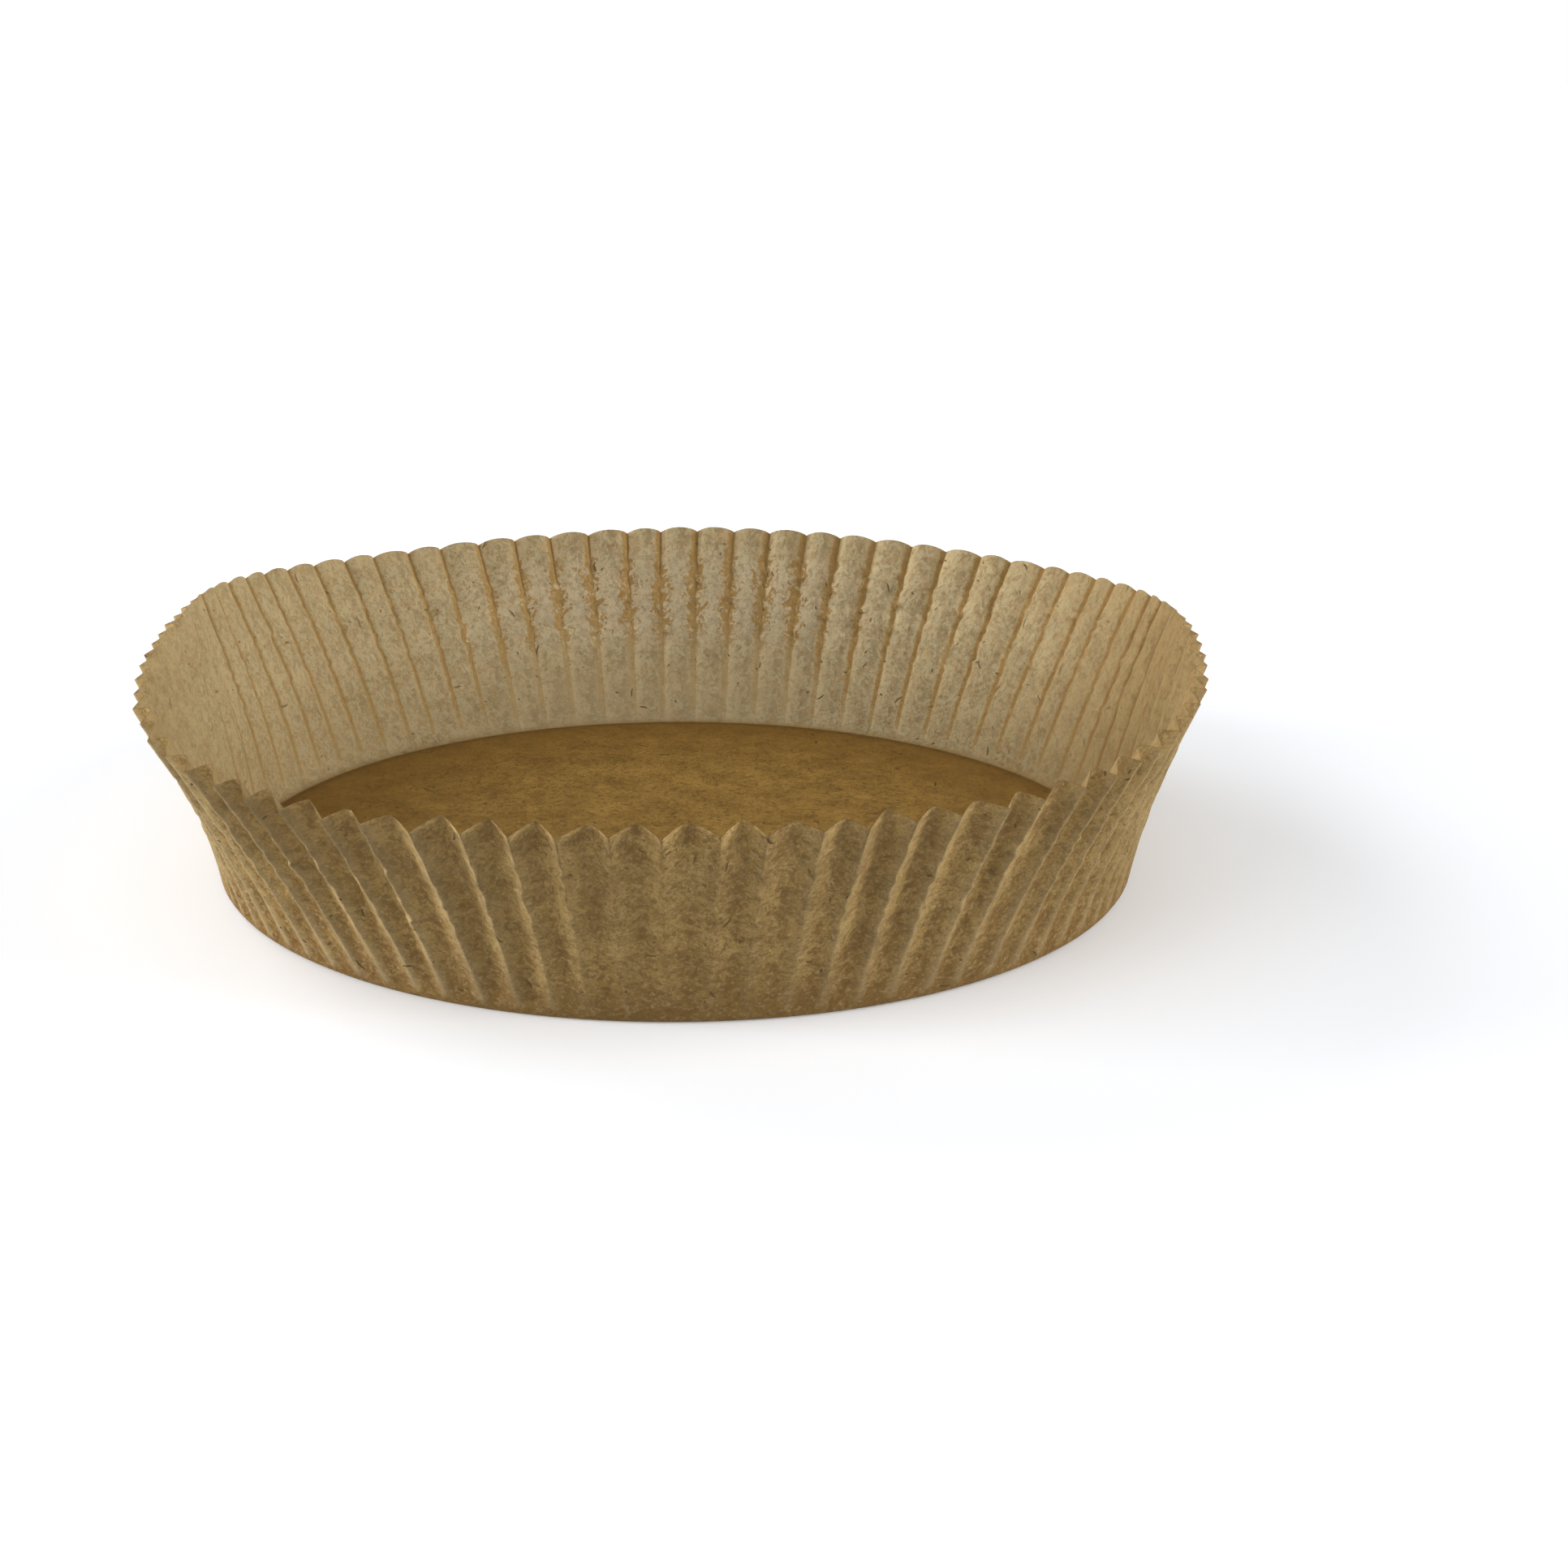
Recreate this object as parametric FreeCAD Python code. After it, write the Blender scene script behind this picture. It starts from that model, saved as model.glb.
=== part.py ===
import FreeCAD, Part
import math
import os

# Air fryer paper liner: one thin round sheet of kraft paper pressed into a shallow cup.
# The floor stays flat. The spare paper of the wall gathers into flutes, which start at nothing
# at the bend round the floor and deepen up to the rim, so the wall is a fan of flat panels that
# meet at fold lines.
# Millimetres, +Z up. The origin is the centre of the underside, which the liner rests on.

# The sheet
PAPER_THICKNESS = 0.12

# The floor and the bend round it
BASE_RADIUS = 96.6  # flat floor, out to the start of the bend
BEND_RADIUS = 2.4  # outside of the bend
BEND_ANGLE = 68.0  # degrees that the bend turns the sheet up from the floor
BEND_STEPS = 2  # facets round the bend

# The wall, along its outward folds
RIM_RADIUS = 120.0  # mean radius at the rim
RIM_HEIGHT = 46.6  # mean height of the rim above the underside
WALL_HOLLOW = 1.1  # how far the wall's middle lies inside a straight line, so that the rim flares
WALL_STEPS = 5  # facets up each fold

# The rim as the paper settles: longer along Y than along X, and a little square
RIM_OVAL = 5.8  # added to the radius along Y, and taken off it along X
RIM_SQUARENESS = 3.3  # added to the radius at the four soft corners, taken off between them

# The flutes
FLUTE_COUNT = 84
FLUTE_DEPTH = 2.8  # at the rim, from an outward fold to the crown inside it
CROWN_WIDTH = 3.0  # width at the rim of the flat crown between two outward folds
DEPTH_GROWTH = 0.7  # power by which the depth grows along the wall, under 1 for a quick start


def rim_radius(angle):
    """Radius of the rim's outward folds, where the settled rim departs from a circle."""
    return RIM_RADIUS - RIM_OVAL * math.cos(2 * angle) - RIM_SQUARENESS * math.cos(4 * angle)


def bend_line():
    """The bend from the flat floor to the foot of the wall, as (radius, height, lean)."""
    line = []
    for step in range(BEND_STEPS + 1):
        lean = math.radians(BEND_ANGLE) * step / BEND_STEPS
        radius = BASE_RADIUS + BEND_RADIUS * math.sin(lean)
        height = BEND_RADIUS * (1 - math.cos(lean))
        line.append((radius, height, lean))
    return line


def wall_line(angle, depth):
    """A fold line from the foot of the wall to the rim, as (radius, height, lean).

    The paper is as long along every fold, so a fold that reaches less far out stands higher.
    """
    foot_radius, foot_height, _ = bend_line()[-1]
    slant = math.hypot(RIM_RADIUS - foot_radius, RIM_HEIGHT - foot_height)
    reach = rim_radius(angle) - depth - foot_radius
    rise = math.sqrt(slant ** 2 - reach ** 2)
    lean = math.atan2(rise, reach)
    line = []
    for step in range(1, WALL_STEPS + 1):
        share = step / WALL_STEPS
        outward = rim_radius(angle) - foot_radius
        inset = depth * share ** DEPTH_GROWTH
        hollow = 4 * WALL_HOLLOW * share * (1 - share)
        radius = foot_radius + outward * share - hollow - inset
        line.append((radius, foot_height + rise * share, lean))
    return line


def flute_section():
    """The corners across one flute, as (share of the pitch, depth)."""
    pitch = 2 * math.pi * RIM_RADIUS / FLUTE_COUNT
    half_crown = CROWN_WIDTH / pitch / 2
    return [(0.0, 0.0), (0.5 - half_crown, FLUTE_DEPTH), (0.5 + half_crown, FLUTE_DEPTH)]


def fold_lines(offset):
    """Every fold line from the floor to the rim, in order round the liner.

    offset moves the line into the cup, square to the wall, from the sheet's outer face.
    """
    lines = []
    for flute in range(FLUTE_COUNT):
        for share, depth in flute_section():
            angle = 2 * math.pi * (flute + share) / FLUTE_COUNT
            points = []
            for radius, height, lean in bend_line() + wall_line(angle, depth):
                inner_radius = radius - offset * math.sin(lean)
                inner_height = height + offset * math.cos(lean)
                x = inner_radius * math.cos(angle)
                y = inner_radius * math.sin(angle)
                points.append(FreeCAD.Vector(x, y, inner_height))
            lines.append(points)
    return lines


def facet(*corners):
    """A flat face through the corners."""
    return Part.Face(Part.makePolygon(list(corners) + [corners[0]]))


def strip(first, second):
    """Flat facets between two lines that have a point each for every step."""
    facets = []
    for step in range(len(first) - 1):
        facets.append(facet(first[step], second[step], second[step + 1]))
        facets.append(facet(first[step], second[step + 1], first[step + 1]))
    return facets


def sheet_face(lines):
    """One face of the sheet: the flat floor and the panels of the wall between its folds."""
    facets = [facet(*[line[0] for line in lines])]
    for line, following in zip(lines, lines[1:] + lines[:1]):
        facets += strip(line, following)
    return facets


def cut_edge(outer_lines, inner_lines):
    """The sheet's cut edge round the rim, from the outer face to the inner one."""
    outer_rim = [line[-1] for line in outer_lines]
    inner_rim = [line[-1] for line in inner_lines]
    return strip(outer_rim + outer_rim[:1], inner_rim + inner_rim[:1])


def paper_liner():
    """The pressed sheet as one closed solid."""
    outer_lines = fold_lines(0.0)
    inner_lines = fold_lines(PAPER_THICKNESS)
    facets = sheet_face(outer_lines) + sheet_face(inner_lines) + cut_edge(outer_lines, inner_lines)
    shell = Part.makeShell(facets)
    shell.sewShape()
    return Part.makeSolid(shell)


os.makedirs("parts", exist_ok=True)
paper_liner().exportStep("parts/paper_liner.step")
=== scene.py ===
# Air fryer paper liner: one round sheet of kraft paper pressed into a shallow fluted cup,
# standing on a white studio floor. Metres, +Z up, the middle of the liner's underside at the
# origin. Sizes of the paper are in millimetres, and MM turns them to metres. Angles go from +X
# round to +Y, so the front of the liner is at -90 degrees and its back at 90.
import bmesh
import bpy
import math
import random
from mathutils import Matrix, Vector, noise


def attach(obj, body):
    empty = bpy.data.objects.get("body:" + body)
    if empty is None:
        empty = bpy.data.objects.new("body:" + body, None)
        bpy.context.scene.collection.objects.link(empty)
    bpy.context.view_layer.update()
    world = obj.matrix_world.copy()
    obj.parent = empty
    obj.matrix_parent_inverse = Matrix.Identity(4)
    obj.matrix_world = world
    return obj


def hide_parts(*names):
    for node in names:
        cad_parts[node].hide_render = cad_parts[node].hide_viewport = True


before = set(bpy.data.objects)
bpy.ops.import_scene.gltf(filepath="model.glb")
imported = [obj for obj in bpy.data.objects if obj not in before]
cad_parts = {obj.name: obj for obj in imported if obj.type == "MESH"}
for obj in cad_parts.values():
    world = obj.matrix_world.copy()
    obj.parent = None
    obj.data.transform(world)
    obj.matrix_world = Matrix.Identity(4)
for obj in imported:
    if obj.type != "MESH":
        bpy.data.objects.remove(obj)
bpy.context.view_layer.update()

MM = 0.001
NODE = "paper_liner"

# The flat sheet
PAPER_THICKNESS = 0.12
FLUTES = 84
FLUTE_COLUMNS = 10  # columns of points across one flute
FOLD_CROWDING = 0.6  # how far the columns crowd towards the fold lines, 0 for even
FLOOR_RINGS = (32.0, 62.0, 82.0, 92.0)
BEND_ROWS = 3
WALL_ROWS = 47

# The pressed cup
BASE_RADIUS = 96.6
BEND_RADIUS = 2.4
BEND_ANGLE = math.radians(68.0)
RIM_RADIUS = 120.0
RIM_HEIGHT = 46.6
WALL_HOLLOW = 1.1
RIM_OVAL = 5.8
RIM_SQUARENESS = 3.3
RIM_LOBE = 1.9  # a third lobe, where the paper sprang back unevenly
RIM_LOBE_TURN = math.radians(13.0)
WALL_SWAY = 0.6  # slow wander of the wall in and out, at the rim
WALL_RIPPLE = 0.2
FLOOR_SWELL = 0.35
SWELL_SPACING = 45.0

# The flutes
FLUTE_DEPTH = 3.0
DEPTH_GROWTH = 0.62  # power by which the depth grows up the wall
OPENED_GROWTH = 0.4  # added to that power where the folds opened out, so it is flat low down
FRONT_FLATNESS = 1.25  # power of a flute's section in front
BACK_FLATNESS = 3.75  # added to that power at the back
FLANK_LEAN = 1.8  # and taken off one flank of a leaning crown, and added to the other
FIRST_FOLD = math.radians(-88.4)
CROWDING = 0.06  # how much wider the flutes are opposite their closest place
WIDEST_FLUTE = math.radians(62.0)

# The crushing of the folds
JOG_SPACING = 5.5  # between the jogs along a crushed fold line
SMALLEST_JOG = 0.35
JOG_VARIETY = 1.2  # how much larger than the smallest a jog may be
FRONT_JOG = 0.25  # and how much larger they all are in front
FOLD_WAVE = 0.4  # fine sideways waver of a crushed fold
FOLD_DRIFT = 0.35  # slow sideways wander of any fold, at the rim
FOLD_LOSS = 0.3  # height that a fold loses at the rim to its own crushing
BACK_FOLD_LOSS = 0.6  # and more of it round the back
DENT_DEPTH = 1.5
CRUMPLE_DEPTH = 0.55
FACET_WIDTH = 2.6
FACET_HEIGHT = 3.4

# The marks that the press leaves on the paper, and where light and shade are painted on it, for
# the materials to read
PRESS_MARKS = ("fold", "flank", "rise", "crush", "opening", "stretch_and_light", "wear_and_highlight")

FOOT_RADIUS = BASE_RADIUS + BEND_RADIUS * math.sin(BEND_ANGLE)
FOOT_HEIGHT = BEND_RADIUS * (1 - math.cos(BEND_ANGLE))
BEND_LENGTH = BEND_RADIUS * BEND_ANGLE
SLANT = math.hypot(RIM_RADIUS - FOOT_RADIUS, RIM_HEIGHT - FOOT_HEIGHT)
SHEET_RADIUS = BASE_RADIUS + BEND_LENGTH + SLANT


def smooth_step(low, high, value):
    """0 below low, 1 above high, and an even curve between."""
    share = min(max((value - low) / (high - low), 0.0), 1.0)
    return share * share * (3 - 2 * share)


def waver(*place):
    """An even random wave between about -1 and 1, one step long in each direction."""
    return noise.noise(Vector(place))


# Each flute is its own: the paper gathers by hand-sized chance, not by a ruler
chance = random.Random(84)
flute_depths = [chance.uniform(0.8, 1.14) for flute in range(FLUTES)]
crown_shifts = [chance.uniform(-0.1, 0.1) for flute in range(FLUTES)]
fold_shifts = [chance.uniform(-0.006, 0.006) for flute in range(FLUTES)]
fold_insets = [chance.uniform(0.0, 0.5) for flute in range(FLUTES)]


# How the cup differs round its wall, and where light and shade are painted round it

def towards(angle, middle, reach):
    """1 at the middle angle, easing to 0 at reach degrees to either side of it."""
    away = math.degrees(abs(math.remainder(angle - math.radians(middle), 2 * math.pi)))
    return 1 - smooth_step(0.0, reach, away)


def backward(angle):
    """0 in front of the cup, easing to 1 round its back."""
    return smooth_step(-0.1, 0.5, math.sin(angle))


def opened(angle):
    """How far the folds opened out again low down: 1 at the back of the cup, easing to 0."""
    return min(1.7 * towards(angle, 95.0, 36.0), 1.0)


def stretched_and_lit(angle):
    """How pale the wall is, partly the die's stretching and partly painted light and shade: most
    at the back, less at the left, where it is painted light, and hardly at the right, where the
    plainer wall is painted shade."""
    at_back = smooth_step(-0.6, 0.5, math.sin(angle)) * (0.8 + 0.2 * towards(angle, 95.0, 50.0))
    at_left = 0.32 * towards(angle, 197.0, 50.0)
    return (at_back + at_left) * (1 - 0.95 * towards(angle, 9.0, 54.0))


def leaning(angle):
    """How far the flat crowns lean over to one side: most in the middle of the back."""
    at_left = 0.75 * towards(angle, 155.0, 60.0)
    at_right = 0.75 * towards(angle, 15.0, 62.0)
    return backward(angle) * (1 - at_left) * (1 - at_right)


def worn_and_lit(angle):
    """How pale the outward folds are, partly from rubbing and partly as a painted highlight: most
    at the front left, where they catch the light, and least in front, where they hardly stand out."""
    return 0.75 + 0.4 * towards(angle, -135.0, 45.0) - 0.7 * towards(angle, -88.0, 28.0)


def crushed(angle, share):
    """How crushed the folds are at this angle and share of the wall's height, from 0 to 1: the
    upper half took up the most paper, and it is smooth again at the rim."""
    upper_half = smooth_step(0.28, 0.5, share) * (1 - smooth_step(0.76, 0.93, share))
    return upper_half * (0.5 + 0.5 * towards(angle, 65.0, 95.0))


def flatness(angle):
    """How flat the crowns are: the power of a flute's section, where 1 is straight flanks and
    more is a broad flat crown between narrow folds."""
    at_back = BACK_FLATNESS * backward(angle)
    at_right = 0.9 * towards(angle, 60.0, 70.0)
    at_left = 2.0 * towards(angle, 150.0, 60.0)
    return FRONT_FLATNESS + at_back - at_right + at_left


def slack(angle, share):
    """How much of their depth the flutes lost as the paper sprang back: most of it in front,
    below the rim, and about half of it round the back."""
    in_front = 0.9 * towards(angle, -88.0, 21.0) ** 0.6 * (1 - smooth_step(0.84, 1.0, share))
    at_back = 0.53 * backward(angle) + 0.2 * towards(angle, 150.0, 60.0)
    at_right = 0.25 * towards(angle, 38.0, 50.0)
    return in_front + at_back + at_right


def rim_radius(angle):
    """Mean radius of the rim's outward folds, where the settled rim departs from a circle."""
    oval = RIM_OVAL * math.cos(2 * angle)
    square = RIM_SQUARENESS * math.cos(4 * angle)
    lobe = RIM_LOBE * math.sin(3 * (angle + RIM_LOBE_TURN))
    return RIM_RADIUS - oval - square + lobe


# The fold lines and what lies between them

def fold_angle(flute):
    """Angle of an outward fold round the cup."""
    even = FIRST_FOLD + 2 * math.pi * flute / FLUTES
    crowding = CROWDING * (math.sin(even - WIDEST_FLUTE) + math.cos(WIDEST_FLUTE))
    return even + crowding + fold_shifts[flute % FLUTES]


def across_flute(column):
    """The flute that a column of points belongs to, and how far across it the column lies."""
    flute, step = divmod(column, FLUTE_COLUMNS)
    even = step / FLUTE_COLUMNS
    return flute, even - FOLD_CROWDING * math.sin(2 * math.pi * even) / (2 * math.pi)


def column_angle(column):
    """Angle of a column of points on the flat sheet."""
    flute, across = across_flute(column)
    return fold_angle(flute) * (1 - across) + fold_angle(flute + 1) * across


def kink(flute, share):
    """Sideways wander of a fold line, in millimetres: short jogs where it is crushed, and a slow
    drift elsewhere."""
    angle = fold_angle(flute)
    height = share * SLANT
    steps = height / JOG_SPACING + 1.5 * waver(flute * 3.7, height / 15.0, 8.0)
    jog = steps % 1.0 - 0.5
    side = 1 if flute % 3 else -1
    size = SMALLEST_JOG + JOG_VARIETY * abs(waver(flute * 5.3, height / 9.0, 1.0))
    size += FRONT_JOG * (1 - backward(angle))
    wave = FOLD_WAVE * waver(flute * 5.3, height / 3.0, 1.0)
    drift = FOLD_DRIFT * waver(flute * 5.3, height / 20.0, 3.0)
    jogging = min(1.7 * crushed(angle, share), 1.0)
    return jogging * (side * jog * size + wave) + drift * share


def dent(flute, share):
    """How far a crushed fold is pushed back into the cup, in millimetres."""
    wave = waver(flute * 9.1, share * SLANT / 2.8, 4.0)
    return DENT_DEPTH * crushed(fold_angle(flute), share) ** 2 * smooth_step(0.0, 0.5, wave)


def facets(angle, share):
    """Small flat-sided dents, from about -1 to 1, with a crease wherever they turn over."""
    place = Vector((angle * RIM_RADIUS / FACET_WIDTH, share * SLANT / FACET_HEIGHT, 5.0))
    return 1.6 * abs(noise.noise(place)) + 0.9 * abs(noise.noise(2.1 * place)) - 0.6


def flute_section(flute, across, angle, share):
    """The form across a flute, from 0 on its outward folds to 1 on its crown, which leans to one
    side at the back and is rounded near the foot."""
    shifted = across + crown_shifts[flute] * math.sin(math.pi * across)
    off_crown = min(abs(1 - 2 * shifted), 1.0)
    lean = FLANK_LEAN * leaning(angle)
    power = flatness(angle) + (-lean if shifted > 0.5 else lean)
    crisp = 1 - off_crown ** power
    rounded = math.sin(math.pi * shifted) ** 2
    sharpness = smooth_step(0.0, 0.35, share)
    return rounded + (crisp - rounded) * sharpness


def gather(flute, across, angle, share):
    """How far the paper lies inside its outward folds here, in millimetres."""
    following = (flute + 1) % FLUTES
    section = flute_section(flute, across, angle, share)
    grown = share ** (DEPTH_GROWTH + OPENED_GROWTH * opened(angle))
    depth = FLUTE_DEPTH * flute_depths[flute] * (1 - slack(angle, share)) * grown
    near_first = smooth_step(0.72, 1.0, 1 - across)
    near_next = smooth_step(0.72, 1.0, across)
    dents = dent(flute, share) * near_first + dent(following, share) * near_next
    crumple = CRUMPLE_DEPTH * facets(angle, share) * crushed(angle, share) ** 2
    inset = fold_insets[flute] * (1 - across) + fold_insets[following] * across
    return depth * section + (dents + crumple) * (1 - section) + inset * share


# Where each point of the sheet goes

def floor_place(angle, flat_radius):
    """A point of the floor, which lies flat with a slight swell."""
    x = flat_radius * math.cos(angle)
    y = flat_radius * math.sin(angle)
    wave = waver(x / SWELL_SPACING, y / SWELL_SPACING, 2.0)
    swell = FLOOR_SWELL * (0.5 + 0.5 * wave)
    return Vector((x, y, swell * (1 - (flat_radius / BASE_RADIUS) ** 4)))


def bend_place(angle, bent):
    """A point of the bend round the floor, bent millimetres along it."""
    lean = bent / BEND_RADIUS
    radius = BASE_RADIUS + BEND_RADIUS * math.sin(lean)
    height = BEND_RADIUS * (1 - math.cos(lean))
    return Vector((radius * math.cos(angle), radius * math.sin(angle), height))


def wall_place(column, angle, share):
    """A point of the fluted wall. The paper is as long along every fold, so what reaches less
    far out stands higher, but for the little that the folds lose."""
    flute, across = across_flute(column)
    following = (flute + 1) % FLUTES
    outward = rim_radius(angle) - FOOT_RADIUS
    reach = outward - gather(flute, across, angle, 1.0)
    lost = FOLD_LOSS + BACK_FOLD_LOSS * backward(angle)
    rise = math.sqrt(SLANT ** 2 - reach ** 2) - lost * abs(1 - 2 * across) ** 2
    hollow = 4 * WALL_HOLLOW * share * (1 - share)
    inside = gather(flute, across, angle, share)
    x = math.cos(angle)
    y = math.sin(angle)
    sway = WALL_SWAY * share * waver(2.2 * x, 2.2 * y, share * 1.6)
    ripple = WALL_RIPPLE * smooth_step(0.1, 0.4, share) * waver(27 * x, 27 * y, share * 11.0)
    radius = FOOT_RADIUS + outward * share - hollow - inside + sway + ripple
    sideways = kink(flute, share) * (1 - across) ** 2 + kink(following, share) * across ** 2
    turned = angle + sideways / radius
    height = FOOT_HEIGHT + rise * share
    return Vector((radius * math.cos(turned), radius * math.sin(turned), height))


def press_marks(angle, across, share, past_base):
    """The marks that the press leaves on the paper at a point, with how much painted light and
    shade goes there.
    """
    creased = smooth_step(0.0, 0.04, share)
    return {
        "fold": 0.5 + (abs(1 - 2 * across) - 0.5) * creased,  # 1 on an outward fold, 0 on a crown
        "flank": (2 * across - 1) * leaning(angle),  # below 0 on one flank, above 0 on the other
        "rise": past_base / (SHEET_RADIUS - BASE_RADIUS),  # 0 at the floor's edge, 1 at the rim
        "crush": crushed(angle, share),
        "opening": opened(angle),
        "stretch_and_light": stretched_and_lit(angle),
        "wear_and_highlight": worn_and_lit(angle),
    }


def sheet_rings():
    """Radii on the flat sheet of the rings of points, from its middle to its cut edge."""
    bend = [BASE_RADIUS + BEND_LENGTH * row / BEND_ROWS for row in range(BEND_ROWS)]
    foot = BASE_RADIUS + BEND_LENGTH
    wall = [foot + SLANT * row / WALL_ROWS for row in range(WALL_ROWS + 1)]
    return [0.0, *FLOOR_RINGS, *bend, *wall]


def cut_sheet(mesh):
    """The flat round sheet: a line of points from its middle to its edge, spun into the gore of
    one flute, and the gore repeated full round."""
    line = [mesh.verts.new((radius * MM, 0.0, 0.0)) for radius in sheet_rings()]
    edges = [mesh.edges.new(pair) for pair in zip(line, line[1:])]
    middle = {"cent": (0, 0, 0), "axis": (0, 0, 1)}
    gore = 2 * math.pi / FLUTES
    bmesh.ops.spin(mesh, geom=line + edges, steps=FLUTE_COLUMNS, angle=gore, **middle)
    whole = mesh.verts[:] + mesh.edges[:] + mesh.faces[:]
    bmesh.ops.spin(mesh, geom=whole, steps=FLUTES - 1, angle=2 * math.pi - gore,
                   use_duplicate=True, **middle)
    bmesh.ops.remove_doubles(mesh, verts=mesh.verts, dist=0.001 * MM)


def press(mesh):
    """Presses the flat sheet into the fluted cup. Each point keeps its place on the flat sheet as
    its UV, and the marks of the press, with where light and shade are painted, as attributes."""
    flat_map = mesh.loops.layers.uv.new("flat_sheet")
    layers = {mark: mesh.verts.layers.float.new(mark) for mark in PRESS_MARKS}
    flat_places = {}
    columns = FLUTES * FLUTE_COLUMNS
    for point in mesh.verts:
        flat_radius = point.co.xy.length / MM
        turn = math.atan2(point.co.y, point.co.x) / (2 * math.pi)
        column = round(turn * columns) % columns
        angle = column_angle(column)
        across = across_flute(column)[1]
        out = flat_radius / (2 * SHEET_RADIUS)
        flat_places[point] = (0.5 + out * math.cos(angle), 0.5 + out * math.sin(angle))
        past_base = flat_radius - BASE_RADIUS
        share = min(max((past_base - BEND_LENGTH) / SLANT, 0.0), 1.0)
        if share > 0:
            place = wall_place(column, angle, share)
        elif past_base > 0:
            place = bend_place(angle, past_base)
        else:
            place = floor_place(angle, flat_radius)
        point.co = place * MM
        for mark, value in press_marks(angle, across, share, past_base).items():
            point[layers[mark]] = value
    for face in mesh.faces:
        for corner in face.loops:
            corner[flat_map].uv = flat_places[corner.vert]


def smooth_outward(mesh):
    """Turns every face outwards and shades it smooth, with the sheet's cut edge sharp."""
    bmesh.ops.recalc_face_normals(mesh, faces=mesh.faces)
    for face in mesh.faces:
        face.smooth = True
    for edge in mesh.edges:
        edge.smooth = not edge.is_boundary


def scene_object(name, mesh, materials):
    """A scene object from a bmesh, with its materials in their order."""
    data = bpy.data.meshes.new(name)
    mesh.to_mesh(data)
    mesh.free()
    for material in materials:
        data.materials.append(material)
    thing = bpy.data.objects.new(name, data)
    bpy.context.scene.collection.objects.link(thing)
    return thing


# Materials. Colours are sRGB hex: the dark and the pale tone of a pulp, and the pale and the
# dark of its fibres. Sizes of patterns are millimetres on the flat sheet.

OUTSIDE_PULP = ("7F6031", "CDAD6D")
OUTSIDE_FIBRES = ("DCC799", "5A3E18")
# The hollow colour is partly stain and partly painted shade, the foot colour is painted shade, and
# the fold colour is partly rubbing and partly painted highlight.
HOLLOW_STAIN_AND_SHADE = "74501F"
PAINTED_FOOT_SHADE = "6F4B19"
WORN_FOLD_AND_HIGHLIGHT = "CDBD95"

FLOOR_PULP = ("705113", "A8853F")
FLOOR_FIBRES = ("B08D4C", "573B0E")
# Painted shade that darkens the floor out to its edge, and a painted shadow in the bend.
PAINTED_FLOOR_EDGE_SHADE = "6C4907"
PAINTED_BEND_SHADOW = "523809"

WALL_PULP = ("7D6D49", "CBC09A")
WALL_FIBRES = ("CFC39E", "79592D")
PALE_BLOOM = "B8B394"
# A painted highlight on the lit flank of the crowns, and grey patches that are partly bloom that
# broke up and partly painted shade.
PAINTED_FLANK_HIGHLIGHT = "CFC29C"
BROKEN_BLOOM_AND_SHADE = "81765D"
PINK_BLUSH = "B89C78"
CRUSHED_PALE = "D3CCB6"
# Golden folds, partly the paper's own tone and partly painted shade in the fold valleys.
GOLDEN_FOLD_AND_SHADE = "977539"
SMOOTH_FOOT = "AD9F7C"
UNSTRETCHED_AND_SHADED = "B1A082"  # multiplied over the wall where it is less pale: partly paper that the die left unstretched, partly painted shade
# Painted shade at the foot of the wall, by the bend.
PAINTED_WALL_FOOT_SHADE = "8A6F3E"

# The cut edge is darker than the faces, partly raw fibre and partly painted shade.
EDGE_PULP_AND_SHADE = ("6E5530", "927648")
BARK = "35240F"
LIGHT_THROUGH = "EFDDB8"
LIGHT_THROUGH_EDGE = "8C744A"

GRAIN_SIZE = 0.5  # coarser than the real grain, which is too fine to show
CLUMP_SIZE = 2.0
CLOUD_SIZE = 9.0
STAIN_SIZE = 5.0
BLOOM_SIZE = 1.8
BREAK_SIZE = 1.9
BLUSH_SIZE = 3.1
# Width of the painted shadow in the bend.
BEND_SHADOW_WIDTH = 2.5
SLIVER_BOW = 0.35  # how far a sliver of bark bows, as a share of its length


def linear(hex_colour):
    """An sRGB hex colour as the linear colour that a shader takes."""
    values = [int(hex_colour[place:place + 2], 16) / 255 for place in (0, 2, 4)]
    low = [value / 12.92 for value in values]
    high = [((value + 0.055) / 1.055) ** 2.4 for value in values]
    return (*[a if v <= 0.04045 else b for v, a, b in zip(values, low, high)], 1.0)


def add(material, kind, inputs, output=0, **settings):
    """Adds a node with its settings, gives each input its value or link, and returns an output."""
    tree = material.node_tree
    node = tree.nodes.new("ShaderNode" + kind)
    for name, value in settings.items():
        setattr(node, name, value)
    for name, value in inputs.items():
        if isinstance(value, bpy.types.NodeSocket):
            tree.links.new(value, node.inputs[name])
        else:
            node.inputs[name].default_value = value
    return node.outputs[output] if node.outputs else None


def new_material(name):
    """An empty node material."""
    material = bpy.data.materials.new(name)
    material.use_nodes = True
    material.node_tree.nodes.clear()
    return material


def paper_material(name, *mark_names):
    """An empty material for the paper, with the places on its flat sheet in millimetres, so that a
    pattern follows the paper, and the marks of the press, and of painted light and shade, that it
    reads."""
    material = new_material(name)
    flat = add(material, "TexCoord", {}, output="UV")
    width = 2 * SHEET_RADIUS
    sheet = add(material, "Mapping", {"Vector": flat, "Scale": (width, width, 1.0)})
    marks = {mark: add(material, "Attribute", {}, output="Fac", attribute_name=mark)
             for mark in mark_names}
    return material, sheet, marks


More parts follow.
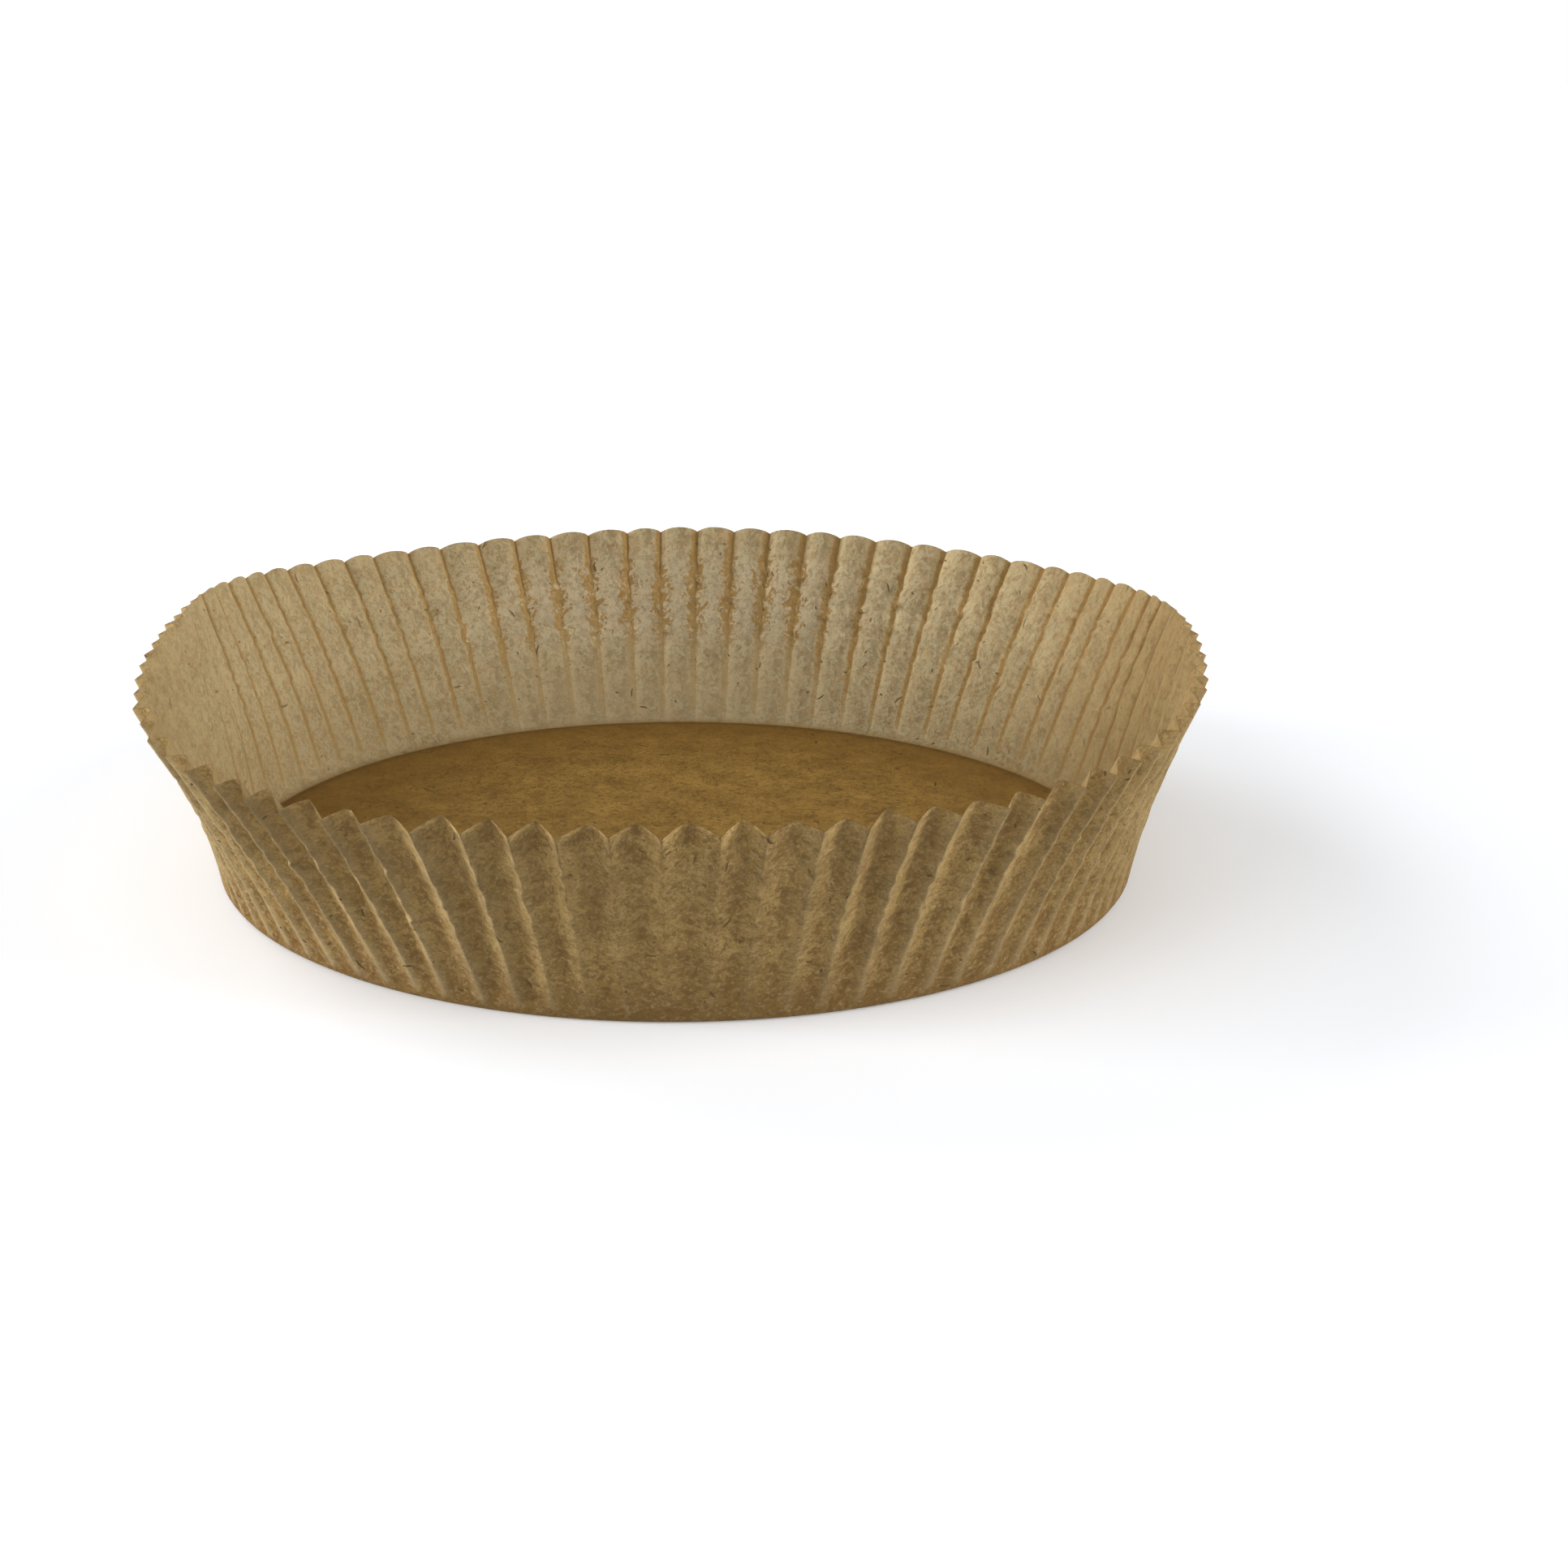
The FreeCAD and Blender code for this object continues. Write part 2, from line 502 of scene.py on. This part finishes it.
def tinted(material, colour, tint, value, none_at, full_at, most=1.0, within=()):
    """A colour with a tint laid over it: none where the value is at none_at, and the most where
    it is at full_at. Within lists shares that each hold the tint back further."""
    share = add(material, "MapRange", {
        "Value": value, "From Min": none_at, "From Max": full_at, "To Max": most})
    for limit in within:
        share = add(material, "Math", {0: share, 1: limit}, operation="MULTIPLY")
    return add(material, "Mix", {0: share, 6: colour, 7: linear(tint)}, output=2,
               data_type="RGBA")


def curled_fibres(material, sheet, spacing, width, share, seed):
    """Short curled fibres: thin contour lines of a noise, broken up by a second noise. Spacing
    and width are in millimetres, and share is how much of each line is left."""
    moved = add(material, "Mapping", {"Vector": sheet, "Location": (seed, -seed, seed)})
    field = add(material, "TexNoise", {
        "Vector": moved, "Scale": 1 / spacing, "Detail": 1.0, "Distortion": 1.2})
    off_line = add(material, "Math", {0: field, 1: 0.5}, operation="SUBTRACT")
    distance = add(material, "Math", {0: off_line}, operation="ABSOLUTE")
    reach = 0.5 * width / spacing
    line = add(material, "MapRange", {
        "Value": distance, "From Min": reach, "From Max": 0.3 * reach})
    breaks = add(material, "TexNoise", {"Vector": moved, "Scale": 1.1 / spacing, "Detail": 0.0})
    piece = add(material, "MapRange", {
        "Value": breaks, "From Min": 0.62 - 0.25 * share, "From Max": 0.7 - 0.25 * share})
    return add(material, "Math", {0: line, 1: piece}, operation="MULTIPLY")


def bark_slivers(material, sheet, spacing, length, width, seed):
    """Dark slivers of bark in the pulp: one short bowed stroke in some of the cells, turned at
    random. All sizes are in millimetres."""
    moved = add(material, "Mapping", {"Vector": sheet, "Location": (seed, seed, 0.0)})
    cell = {"Vector": moved, "Scale": 1 / spacing, "Randomness": 1.0}
    settings = {"voronoi_dimensions": "2D", "feature": "F1"}
    centre = add(material, "TexVoronoi", cell, output="Position", **settings)
    chances = add(material, "TexVoronoi", cell, output="Color", **settings)
    turn_chance = add(material, "SeparateColor", {"Color": chances}, output="Red")
    size_chance = add(material, "SeparateColor", {"Color": chances}, output="Blue")
    turn = add(material, "Math", {0: turn_chance, 1: 2 * math.pi}, operation="MULTIPLY")
    offset = add(material, "VectorMath", {0: moved, 1: centre}, operation="SUBTRACT")
    turned = add(material, "VectorRotate", {"Vector": offset, "Angle": turn},
                 rotation_type="Z_AXIS")
    along = add(material, "SeparateXYZ", {"Vector": turned}, output="X")
    square = add(material, "Math", {0: along, 1: along}, operation="MULTIPLY")
    bow = add(material, "Math", {0: square, 1: SLIVER_BOW / length}, operation="MULTIPLY")
    bend = add(material, "CombineXYZ", {"Y": bow})
    bowed = add(material, "VectorMath", {0: turned, 1: bend}, operation="ADD")
    stroke = add(material, "VectorMath", {0: bowed, 1: (2 / length, 2 / width, 0.0)},
                 operation="MULTIPLY")
    reach = add(material, "VectorMath", {0: stroke}, output="Value", operation="LENGTH")
    size = add(material, "MapRange", {"Value": size_chance, "From Min": 0.3, "From Max": 0.9})
    depth = add(material, "Math", {0: size, 1: reach}, operation="SUBTRACT")
    return add(material, "MapRange", {"Value": depth, "From Min": 0.0, "From Max": 0.12})


def pulp(material, sheet, dark, pale):
    """The tone of the sheet by itself, from grain, clumps of pulp and broad clouds, and the
    clumps for its relief."""
    grain = add(material, "TexNoise", {
        "Vector": sheet, "Scale": 1 / GRAIN_SIZE, "Detail": 2.0, "Roughness": 0.7})
    clumps = add(material, "TexNoise", {
        "Vector": sheet, "Scale": 1 / CLUMP_SIZE, "Detail": 4.0, "Roughness": 0.65,
        "Distortion": 0.6})
    clouds = add(material, "TexNoise", {
        "Vector": sheet, "Scale": 1 / CLOUD_SIZE, "Detail": 2.0, "Roughness": 0.5})
    sum_two = add(material, "Math", {0: grain, 1: 2.0, 2: clumps}, operation="MULTIPLY_ADD")
    sum_all = add(material, "Math", {0: clouds, 1: 1.5, 2: sum_two}, operation="MULTIPLY_ADD")
    return tinted(material, linear(dark), pale, sum_all, 1.75, 2.75), clumps


def with_fibres(material, sheet, colour, pale, dark, strength):
    """Adds pale and dark curled fibres to a colour. They are drawn a little thicker than real
    ones, which are too fine to see at this distance."""
    for spacing, seed in ((0.9, 3.0), (1.7, 17.0)):
        lines = curled_fibres(material, sheet, spacing, 0.28, 0.2, seed)
        colour = tinted(material, colour, pale, lines, 0.0, 1.0, 0.6 * strength)
    for spacing, seed in ((1.2, 41.0), (2.3, 67.0)):
        lines = curled_fibres(material, sheet, spacing, 0.32, 0.3, seed)
        colour = tinted(material, colour, dark, lines, 0.0, 1.0, 1.2 * strength)
    return colour


def with_slivers(material, sheet, colour):
    """Adds the few dark slivers and specks of bark that are left in unbleached pulp."""
    for spacing, length, width, seed in ((14.0, 3.0, 0.55, 5.0), (7.5, 1.2, 0.5, 90.0)):
        marks = bark_slivers(material, sheet, spacing, length, width, seed)
        colour = tinted(material, colour, BARK, marks, 0.0, 1.0, 0.95)
    return colour


def paper_surface(material, colour, through, relief, depth, roughness):
    """Uncoated paper: matt, with a fuzz of fibres at grazing angles, and a little of the light
    behind let through, which the thickness of the sheet turns to the through colour. The relief
    is depth millimetres deep."""
    bump = add(material, "Bump", {"Height": relief, "Strength": 1.0, "Distance": depth * MM})
    face = add(material, "BsdfPrincipled", {
        "Base Color": colour, "Roughness": roughness, "Normal": bump,
        "Specular IOR Level": 0.15, "Sheen Weight": 0.02, "Sheen Roughness": 0.5})
    glow = add(material, "BsdfTranslucent", {"Color": linear(through), "Normal": bump})
    mixed = add(material, "MixShader", {0: 0.3, 1: face, 2: glow})
    add(material, "OutputMaterial", {"Surface": mixed})


def kraft_outside():
    """Unbleached kraft paper, rough side: warm brown, thick with short curled fibres, stained a
    redder brown in the hollows between its folds, with painted shade there too and at its foot,
    and pale on the folds, partly from rubbing and partly as a painted highlight."""
    material, sheet, marks = paper_material("kraft_paper_outside", "fold", "rise", "wear_and_highlight")
    fold = marks["fold"]
    rise = marks["rise"]
    colour, clumps = pulp(material, sheet, *OUTSIDE_PULP)
    stain_and_shade_patches = add(material, "TexNoise", {
        "Vector": sheet, "Scale": 1 / STAIN_SIZE, "Detail": 3.0, "Roughness": 0.7,
        "Distortion": 1.0})
    # Redder brown in the hollows between the outward folds: partly stain patches and partly
    # painted shade in the recesses.
    hollow = add(material, "MapRange", {"Value": fold, "From Min": 0.6, "From Max": 0.1})
    colour = tinted(material, colour, HOLLOW_STAIN_AND_SHADE, stain_and_shade_patches, 0.45, 0.6, 0.95, within=[hollow])
    # Painted shade: darker and browner towards the foot.
    standing = add(material, "MapRange", {"Value": rise, "From Min": -0.15, "From Max": 0.0})
    colour = tinted(material, colour, PAINTED_FOOT_SHADE, rise, 0.4, 0.02, 0.8, within=[standing])
    colour = with_fibres(material, sheet, colour, *OUTSIDE_FIBRES, 0.5)
    # Paler outward folds: partly rubbing and partly a painted highlight on the ridges.
    colour = tinted(material, colour, WORN_FOLD_AND_HIGHLIGHT, fold, 0.5, 1.0, 0.5, within=[marks["wear_and_highlight"]])
    colour = with_slivers(material, sheet, colour)
    paper_surface(material, colour, LIGHT_THROUGH, clumps, 0.2, 0.85)
    return material


def floor_colour(material, sheet):
    """The flat floor, which the die left unstretched: deep brown, with painted shade that darkens
    it out to the bend and a painted shadow in the bend.
    """
    colour = pulp(material, sheet, *FLOOR_PULP)[0]
    colour = with_fibres(material, sheet, colour, *FLOOR_FIBRES, 0.45)
    middle = (SHEET_RADIUS, SHEET_RADIUS, 0.0)
    from_middle = add(material, "VectorMath", {0: sheet, 1: middle}, output="Value",
                      operation="DISTANCE")
    # Painted shade: darker towards the edge of the floor, and a painted shadow line in the bend.
    colour = tinted(material, colour, PAINTED_FLOOR_EDGE_SHADE, from_middle, 0.6 * BASE_RADIUS, BASE_RADIUS,
                    0.65)
    return tinted(material, colour, PAINTED_BEND_SHADOW, from_middle, BASE_RADIUS - BEND_SHADOW_WIDTH,
                  BASE_RADIUS, 0.7)


def with_flank_light_and_shade(material, sheet, marks, colour):
    """Paints a cream highlight on one flank of each crown, and grey patches on the rest of it,
    partly bloom that broke up and partly painted shade, where the wall is paler."""
    flank = marks["flank"]
    stretch_and_light = marks["stretch_and_light"]
    # Painted highlight: cream on the flank of each crown that faces the light.
    colour = tinted(material, colour, PAINTED_FLANK_HIGHLIGHT, flank, 0.44, 0.68, 0.65, within=[stretch_and_light])
    breaks = add(material, "TexNoise", {
        "Vector": sheet, "Scale": 1 / BREAK_SIZE, "Detail": 2.0, "Roughness": 0.5,
        "Distortion": 0.8})
    # Grey patches, partly bloom that broke up and partly painted shade, pushed onto the shaded
    # flank.
    shaded_flank = add(material, "MapRange", {
        "Value": flank, "From Min": 0.24, "From Max": -0.16, "To Min": -0.08, "To Max": 0.09})
    patchy_and_shaded = add(material, "Math", {0: breaks, 1: shaded_flank}, operation="ADD")
    crown = add(material, "MapRange", {
        "Value": marks["fold"], "From Min": 0.75, "From Max": 0.4})
    return tinted(material, colour, BROKEN_BLOOM_AND_SHADE, patchy_and_shaded, 0.54, 0.6, 0.75,
                  within=[crown, stretch_and_light])


def with_golden_fold_shade(material, marks, colour, bloom):
    """Paints a golden tone along the folds, partly the paper's own and partly painted shade in the
    fold valleys, leaning to their shaded side: a narrow line on most, and a wide ragged band where
    the folds are crushed at the back."""
    opening = marks["opening"]
    spread = add(material, "Math", {0: opening, 1: marks["crush"]}, operation="MULTIPLY")
    colour = tinted(material, colour, CRUSHED_PALE, spread, 0.0, 1.0, 0.4)
    # Painted shade: the golden band widens onto the shaded side of each fold.
    shaded_side = add(material, "MapRange", {
        "Value": marks["flank"], "From Min": 0.0, "From Max": 0.8, "To Max": -0.22})
    width = add(material, "Math", {0: marks["fold"], 1: shaded_side}, operation="ADD")
    width = add(material, "Math", {0: spread, 1: 0.18, 2: width}, operation="MULTIPLY_ADD")
    width = add(material, "Math", {0: opening, 1: 0.08, 2: width}, operation="MULTIPLY_ADD")
    tears = add(material, "MapRange", {
        "Value": bloom, "From Min": 0.3, "From Max": 0.7, "To Min": -0.9, "To Max": 0.9})
    ragged = add(material, "MapRange", {"Value": spread, "To Min": 0.08, "To Max": 0.72})
    edge = add(material, "Math", {0: tears, 1: ragged, 2: width}, operation="MULTIPLY_ADD")
    above = add(material, "Math", {0: opening, 1: -0.35, 2: marks["rise"]},
                operation="MULTIPLY_ADD")
    started = add(material, "MapRange", {
        "Value": above, "From Min": 0.04, "From Max": 0.2, "To Min": 0.55, "To Max": 1.0})
    return tinted(material, colour, GOLDEN_FOLD_AND_SHADE, edge, 0.74, 0.84, 0.95, within=[started])


def wall_colour(material, sheet, marks):
    """The wall inside: pale bloom from the die's stretching, patchy on the crowns, and plainer
    near the foot and to the sides, its paleness partly painted light and shade, with painted shade
    at its foot. Returns the clumps too."""
    rise = marks["rise"]
    colour, clumps = pulp(material, sheet, *WALL_PULP)
    bloom = add(material, "TexNoise", {
        "Vector": sheet, "Scale": 1 / BLOOM_SIZE, "Detail": 3.0, "Roughness": 0.6,
        "Distortion": 1.0})
    colour = tinted(material, colour, PALE_BLOOM, bloom, 0.46, 0.54, 0.85)
    colour = with_flank_light_and_shade(material, sheet, marks, colour)
    blush = add(material, "TexNoise", {
        "Vector": sheet, "Scale": 1 / BLUSH_SIZE, "Detail": 2.0, "Roughness": 0.6,
        "Distortion": 0.5})
    colour = tinted(material, colour, PINK_BLUSH, blush, 0.5, 0.62, 0.4)
    colour = with_golden_fold_shade(material, marks, colour, bloom)
    colour = with_fibres(material, sheet, colour, *WALL_FIBRES, 0.33)
    colour = tinted(material, colour, SMOOTH_FOOT, rise, 0.5, 0.15, 0.35,
                    within=[marks["opening"]])
    # Painted light and shade: the wall is multiplied darker where it is less pale, at the right
    # and towards the rim, and stays paler at the back and left.
    at_rim = add(material, "MapRange", {
        "Value": rise, "From Min": 0.6, "From Max": 0.95, "To Min": 1.0, "To Max": 0.75})
    pale = add(material, "Math", {0: marks["stretch_and_light"], 1: at_rim}, operation="MULTIPLY")
    plain_and_shaded = add(material, "MapRange", {"Value": pale, "To Min": 1.0, "To Max": 0.0})
    colour = add(material, "Mix", {0: plain_and_shaded, 6: colour, 7: linear(UNSTRETCHED_AND_SHADED)}, output=2,
                 data_type="RGBA", blend_type="MULTIPLY")
    # Painted shade: darker towards the bend at the foot of the wall.
    return tinted(material, colour, PAINTED_WALL_FOOT_SHADE, rise, 0.06, 0.015, 0.6), clumps


def pressed_facets(material, sheet, marks):
    """Relief of the small flat facets of crushed paper, in the folds: each cell is tilted its
    own way."""
    cell = {"Vector": sheet, "Scale": 1 / FACET_WIDTH, "Randomness": 1.0}
    settings = {"voronoi_dimensions": "2D", "feature": "F1"}
    centre = add(material, "TexVoronoi", cell, output="Position", **settings)
    chances = add(material, "TexVoronoi", cell, output="Color", **settings)
    offset = add(material, "VectorMath", {0: sheet, 1: centre}, operation="SUBTRACT")
    tilt = add(material, "VectorMath", {0: chances, 1: (0.5, 0.5, 0.5)}, operation="SUBTRACT")
    height = add(material, "VectorMath", {0: offset, 1: tilt}, output="Value",
                 operation="DOT_PRODUCT")
    in_fold = add(material, "MapRange", {
        "Value": marks["fold"], "From Min": 0.2, "From Max": 0.6})
    creased = add(material, "Math", {0: in_fold, 1: marks["crush"]}, operation="MULTIPLY")
    return add(material, "Math", {0: height, 1: creased}, operation="MULTIPLY")


def kraft_inside():
    """Kraft paper, greaseproof side: smoother, with a pale bloom from the die's stretching of the
    wall, golden in its folds, and still deep brown on the flat floor, with painted light and shade
    on the wall, in its folds and round the floor's edge."""
    material, sheet, marks = paper_material(
        "kraft_paper_inside", "fold", "flank", "rise", "crush", "opening", "stretch_and_light")
    floor = floor_colour(material, sheet)
    wall, clumps = wall_colour(material, sheet, marks)
    on_wall = add(material, "MapRange", {
        "Value": marks["rise"], "From Min": 0.002, "From Max": 0.012})
    colour = add(material, "Mix", {0: on_wall, 6: floor, 7: wall}, output=2, data_type="RGBA")
    colour = with_slivers(material, sheet, colour)
    tilted = pressed_facets(material, sheet, marks)
    relief = add(material, "Math", {0: tilted, 1: 5.0, 2: clumps}, operation="MULTIPLY_ADD")
    paper_surface(material, colour, LIGHT_THROUGH, relief, 0.12, 0.7)
    return material


def kraft_cut_edge():
    """The sheet's cut edge: raw fibre, which soaks up light, with painted shade on top, so that it
    looks darker than the faces.
    """
    material, sheet, _ = paper_material("kraft_paper_cut_edge")
    colour, clumps = pulp(material, sheet, *EDGE_PULP_AND_SHADE)
    paper_surface(material, colour, LIGHT_THROUGH_EDGE, clumps, 0.05, 0.9)
    return material


def pressed_liner():
    """The liner: the outer face as a mesh, given the paper's thickness inwards."""
    mesh = bmesh.new()
    cut_sheet(mesh)
    press(mesh)
    smooth_outward(mesh)
    materials = (kraft_outside(), kraft_inside(), kraft_cut_edge())
    liner = scene_object("pressed_liner", mesh, materials)
    wall = liner.modifiers.new("paper_thickness", "SOLIDIFY")
    wall.thickness = PAPER_THICKNESS * MM
    wall.offset = -1.0
    wall.material_offset = 1
    wall.material_offset_rim = 2
    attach(liner, "root")
    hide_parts(NODE)


# Studio. Sizes are in metres.

CAMERA_DISTANCE = 0.5191
CAMERA_ELEVATION = math.radians(19.34)
CAMERA_ROLL = math.radians(0.665)
CAMERA_ASIDE = 0.0232  # the liner stands a little to the left of the middle of the view
LENS = 53.86
VIEW_SHIFT = 0.0402  # the liner stands a little below the middle of the view
FLOOR_SIZE = 8.0
FLOOR_SEEN = "F1F4F9"
FLOOR_UNSEEN = "959595"  # its colour where it only throws light back on the liner
FLOOR_LIFT = 0.21  # light of its own where it is seen, which keeps it white
WHITE = "FFFFFF"
AMBIENT = 0.2
BACKDROP = 1.0

# Name, angle round, angle up, how bright the lamp alone makes a white floor, and width in degrees
LAMPS = (
    ("low_left_softbox", -178.0, 5.0, 0.1, 20.0),
    ("back_left_softbox", 142.0, 28.0, 0.17, 36.0),
    ("front_left_softbox", -139.0, 29.0, 0.19, 40.0),
    ("front_softbox", -90.0, 60.0, 0.17, 50.0),
    ("low_right_softbox", -12.0, 6.0, 0.072, 20.0),
    ("right_softbox", -6.0, 34.0, 0.13, 36.0),
)


def seen(material):
    """1 where a surface is seen, straight, in a reflection or through something clear, and 0
    where it only throws light on other things."""
    paths = [add(material, "LightPath", {}, output=kind) for kind in (
        "Is Camera Ray", "Is Glossy Ray", "Is Transmission Ray")]
    either = add(material, "Math", {0: paths[0], 1: paths[1]}, operation="MAXIMUM")
    return add(material, "Math", {0: either, 1: paths[2]}, operation="MAXIMUM")


def studio_floor():
    """A matt white floor. It is seen a step brighter than it lights the liner, so that it stays
    white round the liner's shadow."""
    material = new_material("white_studio_floor")
    in_view = seen(material)
    shade = add(material, "Mix", {0: in_view, 6: linear(FLOOR_UNSEEN), 7: linear(FLOOR_SEEN)},
                output=2, data_type="RGBA")
    matt = add(material, "BsdfDiffuse", {"Color": shade})
    lift = add(material, "Math", {0: in_view, 1: FLOOR_LIFT}, operation="MULTIPLY")
    glow = add(material, "Emission", {"Color": linear(WHITE), "Strength": lift})
    both = add(material, "AddShader", {0: matt, 1: glow})
    add(material, "OutputMaterial", {"Surface": both})
    mesh = bmesh.new()
    bmesh.ops.create_grid(mesh, x_segments=1, y_segments=1, size=FLOOR_SIZE)
    scene_object("studio_floor", mesh, [material])


def studio_world():
    """Even soft light from all round, with a white backdrop where it is seen."""
    world = bpy.data.worlds.new("studio_world")
    world.use_nodes = True
    world.node_tree.nodes.clear()
    ambient = add(world, "Background", {"Color": linear(WHITE), "Strength": AMBIENT})
    backdrop = add(world, "Background", {"Color": linear(WHITE), "Strength": BACKDROP})
    mixed = add(world, "MixShader", {0: seen(world), 1: ambient, 2: backdrop})
    add(world, "OutputWorld", {"Surface": mixed})
    bpy.context.scene.world = world


def soft_lamp(name, azimuth, elevation, share, spread):
    """A broad distant lamp. Share is how bright it alone makes a white floor, and the rest are
    angles in degrees."""
    lamp = bpy.data.lights.new(name, "SUN")
    height = math.radians(elevation)
    turn = math.radians(azimuth)
    lamp.energy = share * math.pi / math.sin(height)
    lamp.angle = math.radians(spread)
    source = Vector((
        math.cos(height) * math.cos(turn), math.cos(height) * math.sin(turn), math.sin(height)))
    holder = bpy.data.objects.new(name, lamp)
    holder.matrix_world = source.to_track_quat("Z", "Y").to_matrix().to_4x4()
    bpy.context.scene.collection.objects.link(holder)


def place_camera():
    """The camera stands in front of the liner, a little above it."""
    data = bpy.data.cameras.new("camera")
    data.lens = LENS
    data.shift_y = VIEW_SHIFT
    data.clip_start = 0.01
    camera = bpy.data.objects.new("camera", data)
    level = CAMERA_DISTANCE * math.cos(CAMERA_ELEVATION)
    height = CAMERA_DISTANCE * math.sin(CAMERA_ELEVATION)
    looking = Vector((0.0, level, -height)).normalized()
    right = Vector((1.0, 0.0, 0.0))
    up = right.cross(looking)
    across = right * math.cos(CAMERA_ROLL) + up * math.sin(CAMERA_ROLL)
    upward = up * math.cos(CAMERA_ROLL) - right * math.sin(CAMERA_ROLL)
    axes = Matrix((across, upward, -looking)).transposed().to_4x4()
    camera.matrix_world = Matrix.Translation((CAMERA_ASIDE, -level, height)) @ axes
    bpy.context.scene.collection.objects.link(camera)
    bpy.context.scene.camera = camera


pressed_liner()
studio_floor()
studio_world()
for lamp_values in LAMPS:
    soft_lamp(*lamp_values)
place_camera()
bpy.context.scene.view_settings.view_transform = "Standard"
